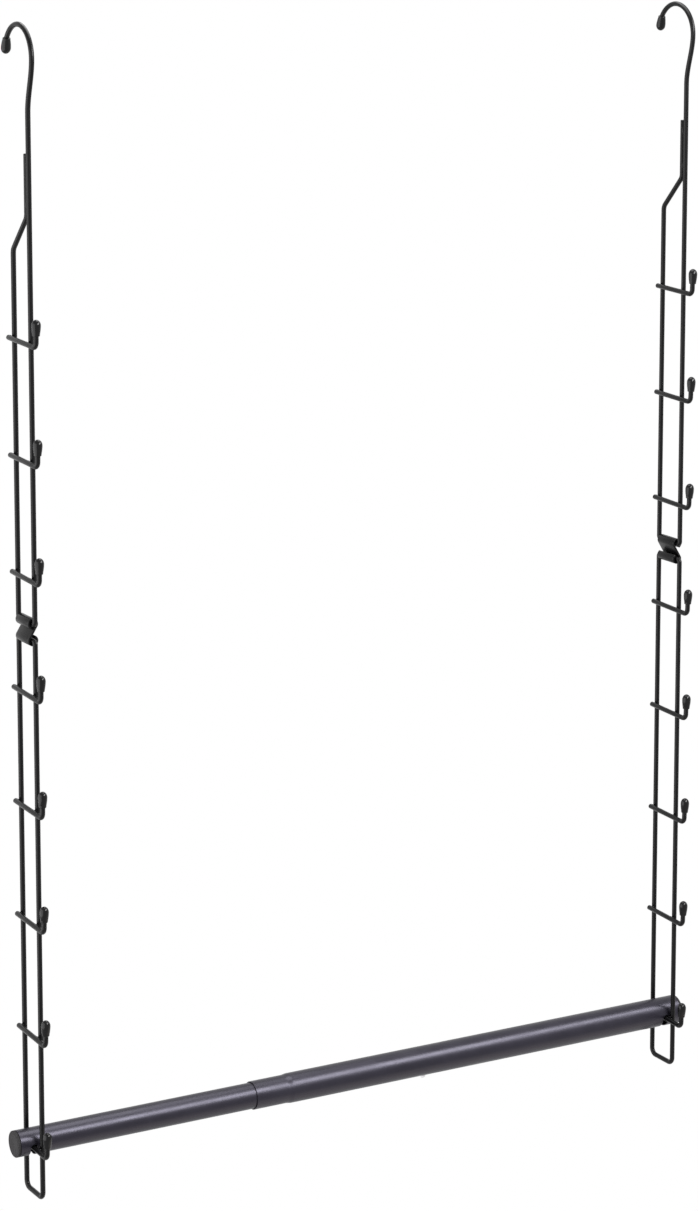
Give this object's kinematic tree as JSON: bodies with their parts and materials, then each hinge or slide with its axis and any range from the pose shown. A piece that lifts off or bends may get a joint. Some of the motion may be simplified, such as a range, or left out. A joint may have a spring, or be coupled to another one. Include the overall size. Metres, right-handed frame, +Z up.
{
  "type": "extendable closet hanger",
  "caption": "Extendable closet hanger: folding wire side frames with rod hooks, rungs and capped prongs carry a telescopic clothes bar as a lower closet rail.",
  "frame": {"origin": "midway between the hooks, on the axis of the closet rod that they hang over", "axes": "+X to the right along the bar, -Y to the front where the prongs are, +Z up"},
  "size_m": [0.6905, 0.0715, 1.0119],
  "materials": {
    "frame_coat": "satin black powder coat on steel wire",
    "bar_coat": "satin charcoal coat on thin steel tube",
    "cap_vinyl": "glossy black dipped vinyl",
    "end_plastic": "dark grey moulded plastic",
    "screw_zinc": "zinc plated steel"
  },
  "bodies": {
    "right_ladder": {"right_lower_frame": "frame_coat", "right_rung_4": "frame_coat", "right_rung_5": "frame_coat", "right_rung_6": "frame_coat", "right_rung_7": "frame_coat", "right_rung_8": "frame_coat", "right_prong_cap_4": "cap_vinyl", "right_prong_cap_5": "cap_vinyl", "right_prong_cap_6": "cap_vinyl", "right_prong_cap_7": "cap_vinyl", "right_prong_cap_8": "cap_vinyl"},
    "right_link": {"right_hinge_link": "frame_coat"},
    "right_hanger": {"right_upper_frame": "frame_coat", "right_hook_cap": "cap_vinyl", "right_rung_1": "frame_coat", "right_rung_2": "frame_coat", "right_rung_3": "frame_coat", "right_prong_cap_1": "cap_vinyl", "right_prong_cap_2": "cap_vinyl", "right_prong_cap_3": "cap_vinyl"},
    "left_ladder": {"left_lower_frame": "frame_coat", "left_rung_4": "frame_coat", "left_rung_5": "frame_coat", "left_rung_6": "frame_coat", "left_rung_7": "frame_coat", "left_rung_8": "frame_coat", "left_prong_cap_4": "cap_vinyl", "left_prong_cap_5": "cap_vinyl", "left_prong_cap_6": "cap_vinyl", "left_prong_cap_7": "cap_vinyl", "left_prong_cap_8": "cap_vinyl"},
    "left_link": {"left_hinge_link": "frame_coat"},
    "left_hanger": {"left_upper_frame": "frame_coat", "left_hook_cap": "cap_vinyl", "left_rung_1": "frame_coat", "left_rung_2": "frame_coat", "left_rung_3": "frame_coat", "left_prong_cap_1": "cap_vinyl", "left_prong_cap_2": "cap_vinyl", "left_prong_cap_3": "cap_vinyl"},
    "bar_outer": {"bar_outer_tube": "bar_coat", "outer_end_cap": "end_plastic", "stop_screw": "screw_zinc"},
    "bar_inner": {"bar_inner_tube": "bar_coat", "inner_end_cap": "end_plastic", "glide_plug": "end_plastic"}
  },
  "joints": [
    {"name": "spread", "type": "slide", "parent": "right_ladder", "child": "left_ladder", "axis": [-1, 0, 0], "range_m": [-0.19, 0.05]},
    {"name": "bar_lift", "type": "slide", "parent": "right_ladder", "child": "bar_outer", "axis": [0, 0, 1], "range_m": [0, 0.03]},
    {"name": "bar_telescope", "type": "slide", "parent": "bar_outer", "child": "bar_inner", "axis": [-1, 0, 0], "range_m": [-0.19, 0.05]},
    {"name": "left_link_fold", "type": "hinge", "parent": "left_ladder", "child": "left_link", "pos_m": [-0.3285, 0, -0.4892], "axis": [0, -1, 0], "range_deg": [0, 90]},
    {"name": "left_hanger_fold", "type": "hinge", "parent": "left_link", "child": "left_hanger", "pos_m": [-0.3285, 0, -0.4748], "axis": [0, -1, 0], "range_deg": [0, 90]},
    {"name": "right_link_fold", "type": "hinge", "parent": "right_ladder", "child": "right_link", "pos_m": [0.3285, 0, -0.4892], "axis": [0, 1, 0], "range_deg": [0, 90]},
    {"name": "right_hanger_fold", "type": "hinge", "parent": "right_link", "child": "right_hanger", "pos_m": [0.3285, 0, -0.4748], "axis": [0, 1, 0], "range_deg": [0, 90]}
  ],
  "couplings": [
    {"joint": "bar_telescope", "follows": "spread", "ratio": 1},
    {"joint": "left_link_fold", "follows": "left_hanger_fold", "ratio": 1},
    {"joint": "right_link_fold", "follows": "right_hanger_fold", "ratio": 1}
  ]
}
